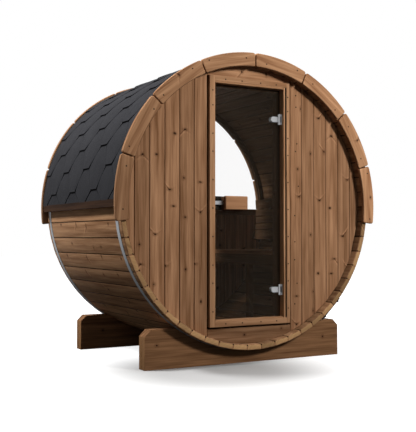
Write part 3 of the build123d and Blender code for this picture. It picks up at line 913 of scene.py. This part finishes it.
# The wall's and the trim's nails are driven less evenly
for level in NAIL_LEVELS:
    x = WALL_NAILS + stray(WALL_STRAY[0])
    nail_places.append((x, WALL_LOW.y, level + stray(WALL_STRAY[1])))
for index in range(TRIM_COUNT):
    for share in TRIM_NAILS:
        turn = TRIM_START + (index + share) * trim_pitch + stray(TRIM_STRAY[0])
        reach = trim_middle_radius + stray(TRIM_STRAY[1])
        nail_places.append(round_axis(reach, TRIM_LOW.y + NAIL_HEIGHT, turn))
nail_heads("nail_heads", nail_places, metal("nail_steel", (44, 38, 34), 0.55))


# Glass door
# The leaf is one sheet of toughened glass, gripped by two steel clamps that turn on the pins of
# the hinge plates. A wooden block on each side of it is the handle, with a small latch beside it.
DOOR = "door"
HANDLE_EDGE = 0.006
PLATE_RISE = 0.0315
PLATE_THICKNESS = 0.003
PLATE_GAP = 0.0003


def pane(name, colour, alpha):
    """Sheet glass: almost all of what is behind it shows through, with a smooth gloss on top."""
    graph = Graph(bpy.data.materials.new(name))
    waves = graph.noise(graph.spot(), 1.5, 1.0) * 0.01
    return graph.surface(Base_Color=linear(colour), Roughness=waves + 0.015, Alpha=waves + alpha)


dress(pane("door_glass", (150, 132, 112), 0.018), "door_glass")
hinge_steel = metal("hinge_steel", (186, 187, 189), 0.34, 0.1)
dress(hinge_steel, "hinge_clamps", "hinge_plates", "handle_bolts", "door_latch")
handle_wood = wood(
    "handle_wood",
    (186, 140, 104),
    (148, 106, 76),
    board_place,
    knots=0.0,
    # The block's end faces are dark end grain, made darker still as painted shade
    end_colour=(78, 52, 36),
)
# Painted shade: the inside block is the outside block's wood made darker, for the dim room behind
# the glass
handle_wood_painted_shade = wood(
    "handle_wood_painted_shade", (96, 66, 46), (62, 42, 29), board_place, knots=0.1
)
for node, material in (("handle_outside", handle_wood), ("handle_inside", handle_wood_painted_shade)):
    bars = [straight_bar(*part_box(node), 0, HANDLE_EDGE, 0.6, corner=4)]
    boards(f"{node}_block", bars, DOOR, material, [node])

# A black plate lies behind the latch, on the inner face of the glass
latch_low, latch_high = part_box("door_latch")
plate_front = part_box("door_glass")[1].y + PLATE_GAP
low = (latch_low.x, plate_front, latch_low.z - PLATE_RISE)
high = (latch_high.x, plate_front + PLATE_THICKNESS, latch_high.z + PLATE_RISE)
bars = [straight_bar(low, high, 2, SEAL_EDGE, 0.5)]
boards("latch_plate", bars, DOOR, rubber())


# Rear wall and window
# Upright boards close the lower half, a rail caps them, and one half-moon pane fills the rest,
# held by beads on both faces.
REAR_LOW, REAR_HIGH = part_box("rear_wall")
MIDDLE_SEAMS = (-0.228, -0.12, 0.0, 0.12, 0.228)
rear_seams = (*(-seam for seam in BOARD_SEAMS[::-1]), *MIDDLE_SEAMS, *BOARD_SEAMS)
bars = upright_boards(rear_seams, 1, REAR_LOW.y, REAR_HIGH.y, REAR_HIGH.z)
boards("rear_wall_boards", bars, CABIN, wall_wood, ["rear_wall"])
# Painted shade: the window beads are a darker wood, for the dim room
bead_wood_painted_shade = wood("bead_wood_painted_shade", (84, 62, 46), (58, 42, 31), solid_place(0), knots=0.2)
rail_wood = wood("rail_wood", (154, 115, 84), (104, 74, 53), solid_place(0))
dress(bead_wood_painted_shade, "window_beads")
dress(rail_wood, "window_rail")
dress(pane("window_glass", (30, 34, 34), 0.006), "window_glass")


# Benches
# On each side, slats on bearers make a bench with an apron and one middle post, and five more
# slats on curved brackets make its backrest.
slat_wood = wood("slat_wood", (164, 122, 90), (112, 80, 57), solid_place(1))
# Painted shade: the bench frames and backrests are a darker wood, for the dim room
bracket_wood_painted_shade = wood("bracket_wood_painted_shade", (108, 80, 58), (72, 52, 37), solid_place(1), knots=0.4)
dress(slat_wood, "bench_slats_right", "bench_slats_left")
dress(bracket_wood_painted_shade, "bench_frame_right", "bench_frame_left", "backrest_right", "backrest_left")


# Runners
# Two cradles carry the barrel. Each is laminated from two upright boards with cut-off top
# corners, and its top is sawn to the barrel's curve.
RUNNER_CUT = 0.043
RUNNER_EDGE = 0.003
CRADLE_RADIUS = STAVE_OUTER + 0.0003
runner_wood = wood(
    "runner_wood",
    (160, 118, 84),
    (103, 71, 48),
    board_place,
    knots=0.8,
    end_colour=(140, 104, 70),
)
for node in ("runner_front", "runner_rear"):
    low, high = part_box(node)
    board_depth = (high.y - low.y) / 2
    corner_place = high.x - RUNNER_CUT
    bars = []
    for layer in range(2):
        along, across, thick = rounded_bar(
            2 * high.x, 1.0, board_depth, RUNNER_EDGE, stations=60
        )
        for place in (-corner_place, corner_place):
            along[np.abs(along[:, 0] - place).argmin()] = place
        # The top is the lowest of three lines: the barrel's curve, the level, and the cut corner
        curve = AXIS_HEIGHT - np.sqrt(np.maximum(CRADLE_RADIUS**2 - along**2, 0))
        corner_line = high.z - np.maximum(np.abs(along) - corner_place, 0)
        top = np.minimum(np.minimum(curve, high.z), corner_line)
        z = top * (across + 0.5)
        grid = np.stack([along, low.y + (layer + 0.5) * board_depth + thick, z], axis=-1)
        uv = np.stack([along + rng.random() * GRAIN_STOCK, z - high.z / 2 + thick], axis=-1)
        bars.append((grid, uv, rng.random()))
    boards(f"{node}_boards", bars, CABIN, runner_wood, [node])


# Studio
# A pale floor lies in a white surround. The key lamp stands in front, to the right of the door.
# A side lamp stands high on the left, a faint one before it, and a wide one hangs over everything.
CAMERA_PLACE = (-3.0165, -5.4268, 0.8567)
CAMERA_YAW = math.radians(29.359)
CAMERA_PITCH = math.radians(1.463)
CAMERA_LENS = 68.65
FLOOR_HALF = 30.0
FLOOR_DROP = 0.0005
FLOOR_DARK = (0.04, 0.04, 0.04, 1)
FLOOR_PALE = (0.43, 0.43, 0.43, 1)
BLACK = (0, 0, 0, 1)
WHITE = (1, 1, 1, 1)
# Painted shadow: round this place before the front runner the floor doesn't glow, so it shows a
# soft shadow there
SHADE_X, SHADE_Y = -0.4, -0.86
SHADE_REACH = (0.3, 1.08)
SHADE_SHARE = 0.84
WHITE_REACH = (1.7, 3.4)
MIRROR_REACH = (1.6, 5.0)
SURROUND_LIGHT = 0.1


def seen_rays(graph):
    """Two shares of 0 or 1: the ray comes from the camera, also through glass, or from a gloss."""
    rays = graph.add("ShaderNodeLightPath").socket.node
    camera, through, glossy = (
        Value(graph, rays.outputs[f"Is {kind} Ray"])
        for kind in ("Camera", "Transmission", "Glossy")
    )
    return camera + through, glossy


floor_mesh = bpy.data.meshes.new("floor")
corners = ((-1, -1), (1, -1), (1, 1), (-1, 1))
floor_points = [(x * FLOOR_HALF, y * FLOOR_HALF, -FLOOR_DROP) for x, y in corners]
floor_mesh.from_pydata(floor_points, [], [(0, 1, 2, 3)])
floor = bpy.data.objects.new("floor", floor_mesh)
bpy.context.scene.collection.objects.link(floor)

# The floor glows, and far off it is as white as the surround, so that no horizon shows. In a
# reflection it is painted dark wherever the barrel stands over it, as shade
ground = Graph(bpy.data.materials.new("pale_floor"))
camera_ray, glossy_ray = seen_rays(ground)
floor_x, floor_y, _ = ground.split(ground.spot())
off_shade = distance(floor_x - SHADE_X, floor_y - SHADE_Y).step(*SHADE_REACH)
reach = distance(floor_x, floor_y)
mirrored = glossy_ray * reach.step(*MIRROR_REACH)
shown = (camera_ray + mirrored * 0.8 + glossy_ray * 0.2).math("MINIMUM", 1.0)
far_off = reach.step(*WHITE_REACH) * (1.0 - SHADE_SHARE)
glow = camera_ray * (off_shade * SHADE_SHARE + far_off) + mirrored
ground.surface(
    Base_Color=ground.mix(shown, FLOOR_DARK, FLOOR_PALE),
    Roughness=0.9,
    Specular_IOR_Level=0.0,
    Emission_Color=ground.mix(glow, BLACK, WHITE),
    Emission_Strength=1.0,
)
floor_mesh.materials.append(ground.owner)

# The surround is white where it is seen, and gives only a little light
world = bpy.data.worlds.new("surround")
bpy.context.scene.world = world
surround = Graph(world, "Background")
camera_ray, glossy_ray = seen_rays(surround)
seen = (camera_ray + glossy_ray).math("MINIMUM", 1.0)
surround.surface(Color=WHITE, Strength=seen * (1.0 - SURROUND_LIGHT) + SURROUND_LIGHT)


def lamp(name, place, target, size, power, colour=(1, 1, 1)):
    """A square soft lamp that faces a point."""
    data = bpy.data.lights.new(name, "AREA")
    data.size = size
    data.energy = power
    data.color = colour
    light = bpy.data.objects.new(name, data)
    light.location = place
    light.visible_camera = False
    light.visible_glossy = False
    light.rotation_euler = (Vector(target) - Vector(place)).to_track_quat("-Z", "Y").to_euler()
    bpy.context.scene.collection.objects.link(light)


lamp("key_lamp", (1.7, -5.1, 3.1), (0.2, -0.6, 1.2), 0.8, 202, (1.0, 0.98, 0.95))
lamp("side_lamp", (-4.6, 1.5, 6.0), (-0.9, 0.0, 1.2), 1.2, 520)
lamp("fill_lamp", (-4.2, -4.5, 4.0), (0.0, -0.6, 1.1), 1.5, 5)
lamp("overhead_lamp", (0.0, 0.3, 12.0), (0.0, 0.0, 0.0), 8.0, 1250)

# The camera stands where the photograph was taken from
camera_data = bpy.data.cameras.new("camera")
camera_data.lens = CAMERA_LENS
camera_data.sensor_width = 36
camera = bpy.data.objects.new("camera", camera_data)
camera.location = CAMERA_PLACE
camera.rotation_euler = (math.pi / 2 + CAMERA_PITCH, 0, -CAMERA_YAW)
bpy.context.scene.collection.objects.link(camera)
bpy.context.scene.camera = camera
bpy.context.scene.view_settings.view_transform = "Standard"
